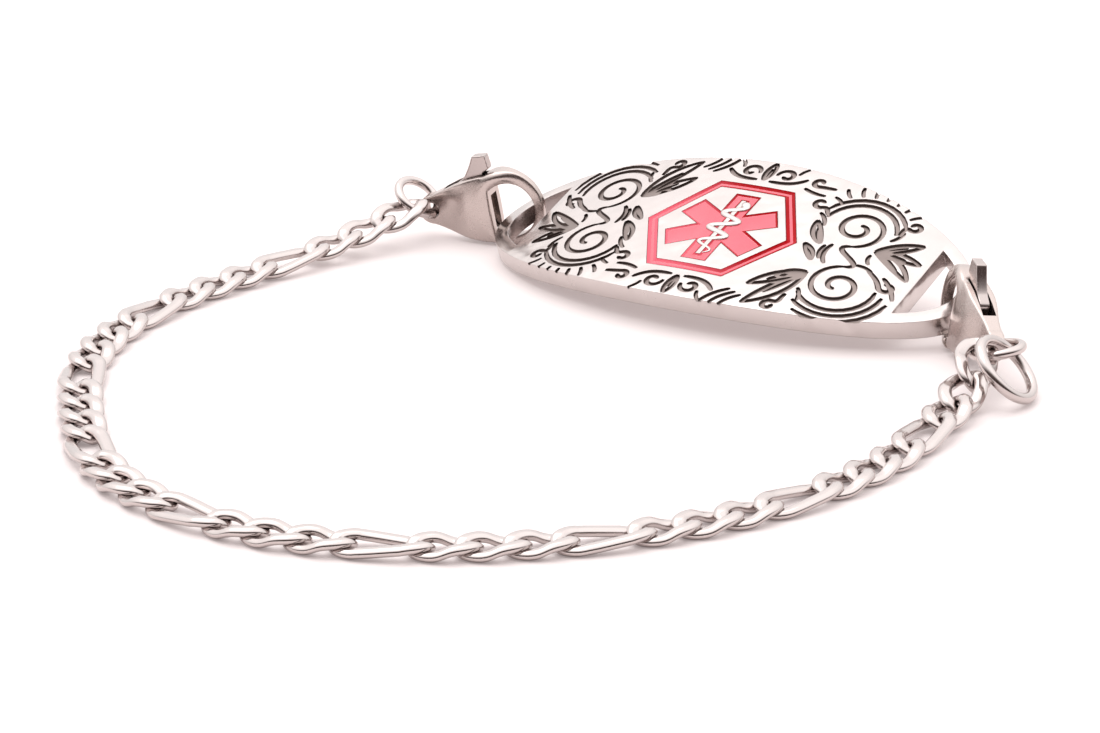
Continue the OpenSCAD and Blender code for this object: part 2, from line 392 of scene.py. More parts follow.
def steel_material(name, colour, roughness, cloudy, scratched, painted_shade, worn=False):
    material, tree, shader = new_material(name, {"Metallic": 1})
    polish = use_group(tree, wheel_polish, Roughness=roughness, Clouds=cloudy, Hairlines=scratched)
    shaded_hollows = use_group(tree, recess, Amount=painted_shade)
    scratches = tree.nodes.new("ShaderNodeBump")
    scratches.inputs["Strength"].default_value = SCRATCH_STRENGTH
    scratches.inputs["Distance"].default_value = SCRATCH_DEPTH
    tree.links.new(polish.outputs["Height"], scratches.inputs["Height"])
    if worn:
        tree.links.new(worn_normal(tree), scratches.inputs["Normal"])
    # Painted shade: the base colour turns dark brown where the recess mask is high.
    tree.links.new(mixed(tree, shaded_hollows.outputs["Mask"], colour, RECESS_SHADE_COLOUR), shader.inputs["Base Color"])
    tree.links.new(polish.outputs["Roughness"], shader.inputs["Roughness"])
    tree.links.new(scratches.outputs["Normal"], shader.inputs["Normal"])
    return material


# The numbers after each colour: roughness, clouds, hairlines, painted shade in recesses
chain_steel = steel_material("polished chain steel", STEEL, 0.16, 0.05, 0.06, 0.85)
ring_steel = steel_material("polished ring steel", STEEL, 0.14, 0.05, 0.05, 0.35)
clasp_steel = steel_material("satin clasp steel", (0.54, 0.465, 0.44, 1), 0.24, 0.05, 0.06, 0.5)
lever_steel = steel_material("lever steel", (0.48, 0.42, 0.405, 1), 0.17, 0.05, 0.06, 0.5)
plaque_steel = steel_material("polished plaque steel", (0.6, 0.545, 0.53, 1), 0.2, 0.05, 0.06, 0.3, worn=True)
# The grooves' dark colour is patina. The walls get the darker copy and the floors the lighter one: a painted
# shade on the walls and painted light on the floors.
patina = steel_material("patina painted darker on walls", (0.1, 0.077, 0.07, 1), 0.45, 0.08, 0.1, 0.3)
patina_painted_lighter = steel_material("patina painted lighter on floors", (0.25, 0.205, 0.192, 1), 0.4, 0.08, 0.1, 0.3)
steels = (chain_steel, ring_steel, clasp_steel, lever_steel, plaque_steel, patina, patina_painted_lighter)
print("steel finishes:", [steel.name for steel in steels])

# %% [markdown]
# ## Enamel
# Enamel is a coloured melt that sets glossy. It is a little uneven, and it is painted deeper red where
# it stands against a wall, a painted shade from the recess mask. The rim that climbs at the wall gets a
# material of its own. It is painted pale at one end of the hexagon and deep red at the other, a painted
# reflection of the bright and the dark side of the room. The bare wall above it is painted in two dark
# reds, a painted shade line round the enamel.

# %% Enamel and pocket walls
ENAMEL_PINK = (0.74, 0.066, 0.112, 1)
ENAMEL_DEEP = (0.55, 0.006, 0.016, 1)
ENAMEL_LOOK = {"Roughness": 0.12, "Coat Weight": 0.6, "Coat Roughness": 0.04}
WALL_REACH = 0.35 * MM
MOTTLE_SCALE = 420
MOTTLE_RANGE = (0.4, 0.75)
MOTTLE_AMOUNT = 0.16
WALL_SCALE = 800
WALL_SHADE_REDS = ((0.45, 0.012, 0.03, 1), (0.26, 0.005, 0.012, 1))

enamel, enamel_tree, enamel_shader = new_material("glossy enamel", ENAMEL_LOOK)
# Painted shade: the recess mask turns the enamel deep red near its walls; the noise adds a random uneven
# tone.
wall_shade = use_group(enamel_tree, recess, Reach=WALL_REACH, Amount=1)
patches = noise(enamel_tree, MOTTLE_SCALE, detail=4)
mottle = map_range(enamel_tree, patches, *MOTTLE_RANGE, 0, MOTTLE_AMOUNT)
shade_and_mottle = math_node(enamel_tree, "ADD", wall_shade.outputs["Mask"], mottle)
enamel_colour = mixed(enamel_tree, shade_and_mottle, ENAMEL_PINK, ENAMEL_DEEP)
enamel_tree.links.new(enamel_colour, enamel_shader.inputs["Base Color"])

# Painted shade: the pocket walls are dark red, a painted shade line between the enamel and the steel.
pocket_red, pocket_tree, pocket_shader = new_material("red pocket wall", {})
pocket_colour = mixed(pocket_tree, noise(pocket_tree, WALL_SCALE), *WALL_SHADE_REDS)
pocket_tree.links.new(pocket_colour, pocket_shader.inputs["Base Color"])
print("enamel:", len(enamel_tree.nodes), "nodes, pocket wall:", len(pocket_tree.nodes), "nodes")

# %% Enamel's climbing rim
PALE_RIM = (0.8, 0.13, 0.18, 1)
RIM_REDS = ((0.3, 0.001, 0.003, 1), (0.5, 0.004, 0.01, 1))
RIM_LOOK = {"Roughness": 0.1, "Specular IOR Level": 0.05}
RIM_SCALE = 700
DARK_REFLECTION_SPAN = (9 * MM, 15 * MM)

enamel_rim_painted, edge_tree, edge_shader = new_material("enamel rim with painted reflection", RIM_LOOK)
edge_where = edge_tree.nodes.new("ShaderNodeTexCoord")
edge_split = edge_tree.nodes.new("ShaderNodeSeparateXYZ")
edge_tree.links.new(edge_where.outputs["Object"], edge_split.inputs["Vector"])
# Painted reflection: along X the rim goes from pale, a painted bright reflection, to deep red, a painted dark
# reflection.
into_dark_reflection = map_range(edge_tree, edge_split.outputs["X"], *DARK_REFLECTION_SPAN, 0, 1)
dark_reflection_reds = mixed(edge_tree, noise(edge_tree, RIM_SCALE), *RIM_REDS)
edge_tree.links.new(mixed(edge_tree, into_dark_reflection, PALE_RIM, dark_reflection_reds), edge_shader.inputs["Base Color"])
print("the rim turns deep red from", DARK_REFLECTION_SPAN[0] / MM, "to", DARK_REFLECTION_SPAN[1] / MM, "mm along X")

# %% [markdown]
# ## Curb chain
# A figaro curb chain is bent from flattened wire, and each link is twisted so that all of them lie
# flat. A torus has the right topology for it: its rings become the stations along the wire and its
# segments the wire's section. Each ring is moved to its station by a formula. Only the short and the
# long link are shaped, and all the others are copies of these two.

# %% Link masters
SHORT_PITCH = 3.04
MIXED_PITCH = 4.02
LINK_PLAY = 0.24
LINK_WIDTH = 3.25
WIRE_WIDTH = 0.98
WIRE_HEIGHT = 0.64
FLAT_WIDTH = 0.5
SHOULDER = 0.24
TWIST_RISE = 0.26
TWIST_SPEED = 1.6
STATIONS = 72
SOLID_WIRE = 0.85
WIRE_CORNER = 0.09
BREAK_ANGLE = math.radians(11.25)
END_RADIUS = (SHORT_PITCH + LINK_PLAY + SOLID_WIRE) / 2 + (SOLID_WIRE - WIRE_WIDTH) / 2
SIDE_RADIUS = (LINK_WIDTH - WIRE_WIDTH) / 2
LONG_STRETCH = MIXED_PITCH - SHORT_PITCH


def rounded_outline(points, radius):
    """Cuts each corner of a closed outline and puts three points round it."""
    outline = []
    for k, point in enumerate(points):
        corner = Vector(point)
        before = (Vector(points[k - 1]) - corner).normalized()
        after = (Vector(points[(k + 1) % len(points)]) - corner).normalized()
        a, b = corner + before * radius, corner + after * radius
        outline += [a, (a + 2 * corner + b) / 4, b]
    return outline


def wire_outline():
    """The drawn wire: flat above and below, with slanted shoulders and short upright sides."""
    x, z, flat, shoulder = WIRE_WIDTH / 2, WIRE_HEIGHT / 2, FLAT_WIDTH / 2, SHOULDER / 2
    corners_of_wire = [(x, -shoulder), (x, shoulder), (flat, z), (-flat, z),
                       (-x, shoulder), (-x, -shoulder), (-flat, -z), (flat, -z)]
    return rounded_outline(corners_of_wire, WIRE_CORNER)


def station_middle(t, stretch):
    """The middle of the wire: two round ends, drawn apart for a long link, and a twist over the sides."""
    spread = max(-1, min(1, math.cos(t) / math.sin(BREAK_ANGLE)))
    rise = -TWIST_RISE * math.tanh(TWIST_SPEED * math.sin(2 * t)) / math.tanh(TWIST_SPEED)
    return Vector((stretch * spread + END_RADIUS * math.cos(t), SIDE_RADIUS * math.sin(t), rise))


def link_master(name, stretch):
    """A torus whose rings are set across the wire's path, each with the outline of the drawn wire."""
    deselect_all()
    section = wire_outline()
    bpy.ops.mesh.primitive_torus_add(major_segments=STATIONS, minor_segments=len(section),
                                     major_radius=END_RADIUS, minor_radius=WIRE_HEIGHT / 2)
    link = bpy.context.object
    link.name = name
    step = math.tau / STATIONS
    for k in range(STATIONS):
        t = (k + 0.5) * step
        way = station_middle(t + step / 2, stretch) - station_middle(t - step / 2, stretch)
        out = Vector((way.y, -way.x, 0)).normalized()
        for j, corner in enumerate(section):
            spot = station_middle(t, stretch) + out * corner.x + Vector((0, 0, corner.y))
            link.data.vertices[k * len(section) + j].co = spot
    mend(link)
    smooth(link)
    return link


short_link = link_master("short_link", 0)
long_link = link_master("long_link", LONG_STRETCH)
print("link faces:", len(short_link.data.polygons), "short width", round(short_link.dimensions.y, 3))

# %% [markdown]
# ## The lie of the chain
# The chain's path is a short table of headings and heights, read between its rows. It is the same
# table as the construction's, so every link lands on its own solid. The print says how far the
# dressed links lie from the solids' boxes at most.

# %% Chain
LINK_COUNT = 39
LONG_EVERY = 4
LINK_HEIGHT = 1.16
CHAIN_START = (-11.35, 27.7)
FLAT = LINK_HEIGHT / 2
STEP_HEADINGS = [(1, 213), (2, 214), (4, 221), (6, 227), (10, 258), (12, 274), (15, 282), (19, 315),
                 (23, 347), (27, 371), (31, 394), (35, 419), (38, 427), (39, 445)]
LINK_HEIGHTS = [(1, 2.5), (2, 1.8), (3, 1.25), (4, 0.88), (5, 0.7), (6, 0.62), (7, FLAT),
                (34, FLAT), (35, FLAT + 0.02), (36, 0.72), (37, 0.85), (38, 1.25), (39, 2.3)]
LINK_ROLLS = [(1, -12), (3, 0), (37, 0), (38, 12), (39, 30)]
LINK_LIFTS = [(38, 0), (39, 6)]


def lookup(x, table):
    """Reads a table between its rows, and keeps the end values outside them."""
    if x <= table[0][0]:
        return table[0][1]
    for (x0, y0), (x1, y1) in zip(table, table[1:]):
        if x <= x1:
            return y0 + (y1 - y0) * (x - x0) / (x1 - x0)
    return table[-1][1]


def is_long(i):
    return i % LONG_EVERY == 0


def pitch_after(i):
    return MIXED_PITCH if is_long(i) or is_long(i + 1) else SHORT_PITCH


def climb_after(i):
    rise = lookup(i + 1, LINK_HEIGHTS) - lookup(i, LINK_HEIGHTS)
    return math.degrees(math.asin(rise / pitch_after(i)))


def link_turn(i):
    """A link lies halfway between the directions of the steps before and after it."""
    heading = (lookup(i - 1, STEP_HEADINGS) + lookup(i, STEP_HEADINGS)) / 2
    climb = (climb_after(max(1, i - 1)) + climb_after(min(i, LINK_COUNT - 1))) / 2 + lookup(i, LINK_LIFTS)
    return lookup(i, LINK_ROLLS), -climb, heading


spot = Vector(CHAIN_START)
worst = 0
for i in range(1, LINK_COUNT + 1):
    name = f"link_{i:02d}"
    link = copied(long_link if is_long(i) else short_link, "dressed_" + name)
    put(link, (spot.x, spot.y, lookup(i, LINK_HEIGHTS)), link_turn(i))
    worst = max(worst, dress(link, chain_steel, "bracelet", name))
    heading = math.radians(lookup(i, STEP_HEADINGS))
    reach = pitch_after(i) * math.cos(math.radians(climb_after(i)))
    spot = spot + reach * Vector((math.cos(heading), math.sin(heading)))
for master in (short_link, long_link):
    bpy.data.objects.remove(master)
print("links placed; corners differ from the solids' boxes by at most", worst, "mm")

# %% [markdown]
# ## Rings
# A jump ring is a turn of wire whose ends meet in a butt joint. A circle spun almost all the way round
# gives the wire, and its two end faces stay a hair apart, as on the real ring.

# %% Rings
JUMP_RING = (4.1, 0.7)
SPARE_RING = (5.7, 0.8)
JOINT_ANGLE = 1.0
WIRE_SIDES = 20
RING_STEPS = 96
END_FACE_EDGE = 50


def wire_ring(name, diameter, wire, joint_at):
    """A ring of a given outer diameter and wire, whose joint is turned to an angle."""
    deselect_all()
    radius = (diameter - wire) / 2
    bpy.ops.mesh.primitive_circle_add(vertices=WIRE_SIDES, radius=wire / 2, fill_type="NOTHING",
                                      location=(radius, 0, 0), rotation=(math.pi / 2, 0, 0))
    ring = bpy.context.object
    ring.name = name
    bpy.ops.object.transform_apply(location=True, rotation=True, scale=True)
    bpy.ops.object.mode_set(mode="EDIT")
    bpy.ops.mesh.select_all(action="SELECT")
    bpy.ops.mesh.spin(steps=RING_STEPS, angle=math.radians(360 - JOINT_ANGLE),
                      center=(0, 0, 0), axis=(0, 0, 1))
    bpy.ops.mesh.select_all(action="DESELECT")
    bpy.ops.mesh.select_non_manifold()
    bpy.ops.mesh.edge_face_add()
    bpy.ops.object.mode_set(mode="OBJECT")
    close_ends(ring)
    ring.data.transform(Matrix.Rotation(math.radians(joint_at), 4, "Z"))
    mend(ring)
    smooth(ring, END_FACE_EDGE)
    return ring


def close_ends(ring):
    """Fills the two cut ends of the wire with flat faces, each from its own loop of edges."""
    mesh = bmesh.new()
    mesh.from_mesh(ring.data)
    for face in [f for f in mesh.faces if len(f.verts) > 4]:
        mesh.faces.remove(face)
    open_edges = [e for e in mesh.edges if len(e.link_faces) < 2]
    bmesh.ops.holes_fill(mesh, edges=open_edges, sides=0)
    mesh.to_mesh(ring.data)
    mesh.free()


# Node, size, place, turn, and the angle of the joint
RINGS = [("left_jump_ring", JUMP_RING, (-9.97, 29.91, 3.1), (38.2, 0, 55), 250),
         ("right_jump_ring", JUMP_RING, (30.99, -5.66, 2.73), (12.3, -1.4, -123.3), 200),
         ("end_ring", SPARE_RING, (31.3, -8.32, 2.26), (45.4, 0, 66.9), 20)]

for node, (diameter, wire), ring_place, ring_turn, joint_at in RINGS:
    ring = wire_ring("dressed_" + node, diameter, wire, joint_at)
    put(ring, ring_place, ring_turn)
    print(node, "off by", dress(ring, ring_steel, "bracelet", node), "mm")

# %% [markdown]
# ## Tools for cut metal
# Plates and cutters start as a circle whose corners are set to an outline, filled and extruded. Two
# closed meshes are then joined or cut with the Boolean modifier. Its Manifold solver is quick and keeps
# closed meshes closed.

# %% Outlines and booleans
def plate_from(name, outline, low, high, material):
    """A closed plate with the outline in X and Y, between two heights."""
    deselect_all()
    bpy.ops.mesh.primitive_circle_add(vertices=len(outline), radius=1, fill_type="NGON", location=(0, 0, 0))
    plate = bpy.context.object
    plate.name = name
    for vertex, (x, y) in zip(plate.data.vertices, outline):
        vertex.co = (x, y, low)
    bpy.ops.object.mode_set(mode="EDIT")
    bpy.ops.mesh.select_all(action="SELECT")
    bpy.ops.mesh.extrude_region_move(TRANSFORM_OT_translate={"value": (0, 0, high - low)})
    bpy.ops.mesh.select_all(action="SELECT")
    bpy.ops.mesh.normals_make_consistent(inside=False)
    bpy.ops.object.mode_set(mode="OBJECT")
    plate.data.materials.append(material)
    return plate


def cut(piece, tool, operation="DIFFERENCE"):
    """Cuts, joins or crosses a piece with a tool, which is used up; its faces keep their materials."""
    modifier = piece.modifiers.new("cut", "BOOLEAN")
    modifier.operation = operation
    modifier.solver = "MANIFOLD"
    modifier.material_mode = "TRANSFER"
    modifier.object = tool
    apply_modifiers(piece)
    bpy.data.objects.remove(tool)


def ellipse(a, b, count):
    return [(a * math.cos(math.tau * k / count), b * math.sin(math.tau * k / count)) for k in range(count)]


def hexagon(radius):
    angles = [math.radians(60 * k) for k in range(6)]
    return [(radius * math.cos(angle), radius * math.sin(angle)) for angle in angles]


# %% [markdown]
# ## Plaque blank
# The plaque is stamped flat, cut, engraved and only then bent over a form, and the model follows that
# order. Flat faces make the cuts exact. Before the bend, the blank is sliced into narrow strips so that
# the flat faces can follow the curve.

# %% Flat blank with its slots
PLAQUE_PLACE = (12.77, 14.03, 5.5)
PLAQUE_TURN = (17.94, -1, -34.43)
PLAQUE_LENGTH = 40.4
PLAQUE_WIDTH = 17.4
PLAQUE_THICKNESS = 1.4
BEND_RADIUS = 70
RIM_WIDTH = 1.15
SLOT_EDGE = 16.15
PLAQUE_STEPS = 160
SLOT_STEPS = 120
SLOT_CUT = (-2, 1)
BLOCK_REACH = (30, 9)
EDGE_ROUNDING = 0.24
ROUNDING_STEPS = 3
SHARP_EDGE = 50
STRIP = 0.8

half_length, half_width = PLAQUE_LENGTH / 2, PLAQUE_WIDTH / 2
plaque = plate_from("dressed_plaque", ellipse(half_length, half_width, PLAQUE_STEPS),
                    -PLAQUE_THICKNESS, 0, plaque_steel)
slot_outline = ellipse(half_length - RIM_WIDTH, half_width - RIM_WIDTH, SLOT_STEPS)
for side in (1, -1):
    slot = plate_from("slot", slot_outline, *SLOT_CUT, plaque_steel)
    near, far, wide = side * SLOT_EDGE, side * BLOCK_REACH[0], BLOCK_REACH[1]
    block = [(near, -wide), (far, -wide), (far, wide), (near, wide)]
    end_block = plate_from("slot end", block[::side], SLOT_CUT[0] - 1, SLOT_CUT[1] + 1, plaque_steel)
    cut(slot, end_block, "INTERSECT")
    cut(plaque, slot)
rounding = plaque.modifiers.new("rounding", "BEVEL")
rounding.width = EDGE_ROUNDING
rounding.segments = ROUNDING_STEPS
rounding.limit_method = "ANGLE"
rounding.angle_limit = math.radians(SHARP_EDGE)
apply_modifiers(plaque)


def slice_in_strips(piece, step=STRIP):
    """Cuts the faces across the plaque's length, so that they can follow its bend."""
    make_active(piece)
    bpy.ops.object.mode_set(mode="EDIT")
    count = int(PLAQUE_LENGTH / 2 / step)
    for k in range(-count, count + 1):
        bpy.ops.mesh.select_all(action="SELECT")
        bpy.ops.mesh.bisect(plane_co=(k * step, 0, 0), plane_no=(1, 0, 0))
    bpy.ops.object.mode_set(mode="OBJECT")


def bend(piece):
    """Wraps a flat piece over the wrist's curve: heights are kept as distances from the bend's axis."""
    for vertex in piece.data.vertices:
        x, y, z = vertex.co
        vertex.co.z = math.sqrt((BEND_RADIUS + z) ** 2 - x * x) - BEND_RADIUS


slice_in_strips(plaque)
print("blank faces:", len(plaque.data.polygons))

# %% [markdown]
# ## Engraved ornament
# The ornament is a traditional scroll: two spirals that turn into each other, arcs that echo them out
# over the rim, leaves, and small tendrils in the gaps. Every stroke is a path of one width, but for the
# short ones and the ends, which are narrower. One panel is drawn, and the half turn of it fills the
# other end.

# %% Strokes
LEAST_STEPS = 8
DEGREES_A_STEP = 12
SWEEP_STEPS = 14
LEAF_FULLNESS = 0.2
VEIN_BOW = 0.7
TENDRIL_END = 0.22
STEM_SWING = (0.4, 0.5)


def curl(u, v, radius, end_radius, start, stop):
    """A spiral stroke round a middle, between two angles in degrees."""
    count = max(LEAST_STEPS, int(abs(stop - start) / DEGREES_A_STEP))
    path = []
    for k in range(count + 1):
        part = k / count
        angle = math.radians(start + (stop - start) * part)
        reach = radius + (end_radius - radius) * part
        path.append((u + reach * math.cos(angle), v + reach * math.sin(angle)))
    return path


def sweep(p, q, p_handle, q_handle):
    """A cubic stroke from p to q, which leaves and arrives along its handles."""
    a = (p[0] + p_handle[0], p[1] + p_handle[1])
    b = (q[0] - q_handle[0], q[1] - q_handle[1])
    path = []
    for k in range(SWEEP_STEPS + 1):
        t = k / SWEEP_STEPS
        parts = ((1 - t) ** 3, 3 * t * (1 - t) ** 2, 3 * t * t * (1 - t), t ** 3)
        path.append(tuple(sum(w * point[axis] for w, point in zip(parts, (p, a, b, q))) for axis in (0, 1)))
    return path


def bow(p, q, side):
    """A stroke from p to q that bows to one side, by a share of its length."""
    middle = ((p[0] + q[0]) / 2 - (q[1] - p[1]) * side, (p[1] + q[1]) / 2 + (q[0] - p[0]) * side)
    p_handle = [(m - a) * 2 / 3 for m, a in zip(middle, p)]
    q_handle = [(b - m) * 2 / 3 for m, b in zip(middle, q)]
    return sweep(p, q, p_handle, q_handle)


def leaf(root, tip, side, fullness=LEAF_FULLNESS):
    """Two bowed edges, and a vein for two thirds of the way."""
    middle = ((root[0] + 2 * tip[0]) / 3, (root[1] + 2 * tip[1]) / 3)
    edges = [bow(root, tip, side + fullness), bow(root, tip, side - fullness)]
    return edges + [bow(root, middle, side * VEIN_BOW)]


def tendril(root, middle, radius, start, stop):
    """A stem that runs into a small spiral."""
    spiral = curl(*middle, radius, TENDRIL_END, start, stop)
    first = spiral[0]
    way = (spiral[1][0] - first[0], spiral[1][1] - first[1])
    reach = math.dist(first, root) * STEM_SWING[1] / math.hypot(*way)
    leave = [(s - r) * STEM_SWING[0] for s, r in zip(first, root)]
    stem = sweep(root, first, leave, (way[0] * reach, way[1] * reach))
    return [stem[:-1] + spiral]


def echoes(u, v, first, step, spans):
    """Arcs round a common middle, each a step wider than the one before."""
    return [curl(u, v, first + step * k, first + step * k, *span) for k, span in enumerate(spans)]


# %% One panel and the crest
def panel():
    """The ornament of the left end: spirals, single strokes, echoes, leaves, tendrils and rays."""
    strokes = [curl(-11.4, 3.2, 2.2, 0.4, -75, 450), curl(-9.7, -3.3, 2.15, 0.4, 105, 630),
               sweep((-10.83, 1.08), (-10.26, -1.22), (-2.2, -0.6), (-2.2, -0.6))]
    strokes += [bow((-9.35, 1.35), (-8.9, -0.95), 0.3), bow((-8.75, 1.0), (-8.45, -0.65), 0.25),
                bow((-12.3, 0.1), (-11.95, -1.0), 0.3), bow((-11.5, 0.55), (-12.9, 0.75), 0.2),
                bow((-13.9, 0.9), (-15.6, 2.9), 0.15), bow((-9.0, 4.6), (-9.6, 6.0), 0.2),
                bow((-12.4, -3.0), (-12.9, -4.4), -0.2), bow((-7.2, -2.6), (-6.2, -4.0), -0.2),
                bow((-5.6, -5.9), (-3.6, -6.3), 0.15), bow((-7.3, -5.4), (-6.3, -6.1), -0.15)]
    strokes += echoes(-11.4, 3.2, 2.85, 0.62, ((38, 192), (52, 184), (66, 176)))
    strokes += echoes(-9.7, -3.3, 2.8, 0.62, ((190, 352), (205, 338)))
    for tip, side in (((-6.75, 4.0), -0.1), ((-5.35, 5.6), -0.04), ((-6.0, 7.75), 0.1)):
        strokes += leaf((-8.75, 2.7), tip, side)
    for tip, side in (((-15.5, 0.5), 0.16), ((-15.6, -1.6), 0.08), ((-14.9, -3.7), -0.02)):
        strokes += leaf((-12.0, -1.5), tip, side)
    strokes += leaf((-8.0, -0.6), (-6.5, -3.1), 0.12) + leaf((-8.3, 1.4), (-6.9, -0.3), -0.12)
    strokes += tendril((-12.5, 0.55), (-14.6, 1.75), 0.6, 20, 330)
    strokes += tendril((-8.6, 5.6), (-8.0, 7.25), 0.5, -100, 220)
    strokes += tendril((-12.6, -3.9), (-13.3, -5.3), 0.5, 60, 380)
    strokes += tendril((-6.9, -3.9), (-5.7, -5.0), 0.55, 130, -160)
    strokes += tendril((-6.0, -6.9), (-4.4, -7.25), 0.5, 110, -190)
    for k in range(7):
        angle = math.radians(222 + 14 * k)
        root, tip = [(-9.7 + reach * math.cos(angle), -3.3 + reach * math.sin(angle)) for reach in (3.8, 5)]
        strokes.append(bow(root, tip, 0.15))
    for k in range(3):
        strokes.append(bow((-4.6 - 0.55 * k, 6.6 + 0.2 * k), (-3.1 - 0.75 * k, 8.7), -0.18))
    return strokes


def crest():
    """The small ornament between two panels: a leaf with the same three strokes on both sides."""
    strokes = leaf((0, 6.3), (0, 8.6), 0, 0.26)
    half = [curl(1.55, 7.25, 0.8, 0.2, 190, -160),
            sweep((0.5, 6.3), (3.4, 7.3), (1.6, -0.1), (0.7, 0.8)),
            bow((2.4, 7.6), (3.0, 8.6), 0.2)]
    for side in (-1, 1):
        strokes += [[(side * u, v) for u, v in path] for path in half]
    return strokes


# %% Cut the strokes
STROKE_WIDTH = 0.46
GROOVE_DEPTH = 0.17
GROOVE_FLOOR = 0.62
STROKE_ENDS = 0.5
SHORT_SHARE = 0.55
FULL_LENGTH = 3.5
TAPER = 0.3
ABOVE = 0.2
STROKE_MERGE = 0.00001


def groove_cutter(path):
    """A closed wedge along the path: wide above the surface, narrow at the groove's floor."""
    last = len(path) - 1
    length = sum(math.dist(a, b) for a, b in zip(path, path[1:]))
    width = STROKE_WIDTH * min(1, SHORT_SHARE + (1 - SHORT_SHARE) * length / FULL_LENGTH)
    corners_of_cutter = []
    for k, (u, v) in enumerate(path):
        (u0, v0), (u1, v1) = path[max(0, k - 1)], path[min(last, k + 1)]
        along = Vector((u1 - u0, v1 - v0)).normalized()
        half = width / 2 * (STROKE_ENDS + (1 - STROKE_ENDS) * max(0, math.sin(math.pi * k / last)) ** TAPER)
        flare = 1 + (1 - GROOVE_FLOOR) * ABOVE / GROOVE_DEPTH
        for side, share, z in ((1, flare, ABOVE), (1, GROOVE_FLOOR, -GROOVE_DEPTH),
                               (-1, GROOVE_FLOOR, -GROOVE_DEPTH), (-1, flare, ABOVE)):
            reach = side * half * share
            corners_of_cutter.append((u - along.y * reach, v + along.x * reach, z))
    faces = [(0, 1, 2, 3), tuple(4 * last + j for j in (3, 2, 1, 0))]
    for k in range(last):
        faces += [(4 * k + j, 4 * k + 4 + j, 4 * k + 4 + (j + 1) % 4, 4 * k + (j + 1) % 4) for j in range(4)]
    return corners_of_cutter, faces


half_turn = Matrix.Rotation(math.pi, 4, "Z")
drawn = panel() + crest()
for path in drawn:
    points, faces = groove_cutter(path)
    for turned in (False, True):
        mesh = bpy.data.meshes.new("stroke")
        mesh.from_pydata(points, [], faces)
        if turned:
            mesh.transform(half_turn)
        # Painted shade and light: the walls take the darker patina, the floor the lighter one.
        mesh.materials.append(patina)
        mesh.materials.append(patina_painted_lighter)
        # The two ends come first, then four sides for each step, of which the second is the floor
        for face in list(mesh.polygons)[3::4]:
            face.material_index = 1
        cutter = bpy.data.objects.new("stroke", mesh)
        bpy.context.scene.collection.objects.link(cutter)
        mend(cutter, STROKE_MERGE)
        cut(plaque, cutter)
print("engraved strokes:", 2 * len(drawn), "plaque faces:", len(plaque.data.polygons))

# %% [markdown]
# ## Emblem
# The hexagon and the star are pockets with flat floors. Coloured enamel is poured into them and climbs
# a little at the walls, as any liquid does. Its face is inset in narrow steps for that, and the steps
# get the rim's red, a painted reflection. The staff is metal that was left standing in the star, and a
# tapered snake winds round it.

# %% Pockets
HEXAGON_RADIUS = 6.4
BORDER_WIDTH = 0.75
BAR_LENGTH = 8.4
BAR_WIDTH = 2.1
STAFF = (0.4, 7)
ENAMEL_DEPTH = 0.7
ENAMEL_PLAY = 0.02
INNER_HEXAGON = HEXAGON_RADIUS - BORDER_WIDTH / math.cos(math.radians(30))


def star_outline(play):
    """Three crossed bars as one outline: two corners at each end, and a notch between two ends."""
    reach, half = BAR_LENGTH / 2 + play, BAR_WIDTH / 2 + play
    outline = []
    for k in range(6):
        turn = math.radians(30 + 60 * k)
        for x, y in ((reach, -half), (reach, half)):
            outline.append((x * math.cos(turn) - y * math.sin(turn), x * math.sin(turn) + y * math.cos(turn)))
        notch = turn + math.radians(30)
        outline.append((2 * half * math.cos(notch), 2 * half * math.sin(notch)))
    return outline


def hexagon_ring(name, play, low, high, material):
    ring = plate_from(name, hexagon(HEXAGON_RADIUS + play), low, high, material)
    cut(ring, plate_from("middle", hexagon(INNER_HEXAGON - play), low - 1, high + 1, material))
    return ring


def star(name, play, low, high, material):
    width, length = STAFF[0] / 2 - play, STAFF[1] / 2 - play
    staff_outline = [(width, -length), (width, length), (-width, length), (-width, -length)]
    block = plate_from(name, star_outline(play), low, high, material)
    cut(block, plate_from("staff", staff_outline, low - 1, high + 1, material))
    return block


for make in (hexagon_ring, star):
    cut(plaque, make("pocket", ENAMEL_PLAY, -ENAMEL_DEPTH - ENAMEL_PLAY, 1, pocket_red))
print("plaque faces with its pockets:", len(plaque.data.polygons))

# %% Enamel fillings
BORDER_BANDS = ((0.06, 0.05), (0.19, 0.045))
STAR_BANDS = ((0.05, 0.035), (0.1, 0.03))
LAST_BAND = (0.08, 0.01)
NEAR_TOP = 0.001
FACING_UP = 0.9
ENAMEL_STRIP = 0.4
ENAMEL_SHARP = 60


def meniscus(piece, bands):
    """Lets the filling climb at its walls: its top face sinks in narrow bands towards the middle,
    each with a width and a fall, and all but the last one get the rim's red, a painted reflection."""
    make_active(piece)
    bpy.ops.object.mode_set(mode="EDIT")
    bpy.ops.mesh.select_all(action="DESELECT")
    bpy.ops.object.mode_set(mode="OBJECT")
    for face in piece.data.polygons:
        face.select = face.center.z > -NEAR_TOP and face.normal.z > FACING_UP
    bpy.ops.object.mode_set(mode="EDIT")
    bpy.ops.mesh.select_mode(type="FACE")
    for width, fall in bands:
        bpy.ops.mesh.inset(thickness=width, depth=-fall, use_boundary=True)
    bpy.ops.mesh.select_all(action="INVERT")
    # The rim material carries the painted reflection: pale at one end, deep red at the other.
    piece.data.materials.append(enamel_rim_painted)
    piece.active_material_index = 1
    bpy.ops.object.material_slot_assign()
    bpy.ops.mesh.select_all(action="INVERT")
    bpy.ops.mesh.inset(thickness=LAST_BAND[0], depth=-LAST_BAND[1], use_boundary=True)
    bpy.ops.object.mode_set(mode="OBJECT")


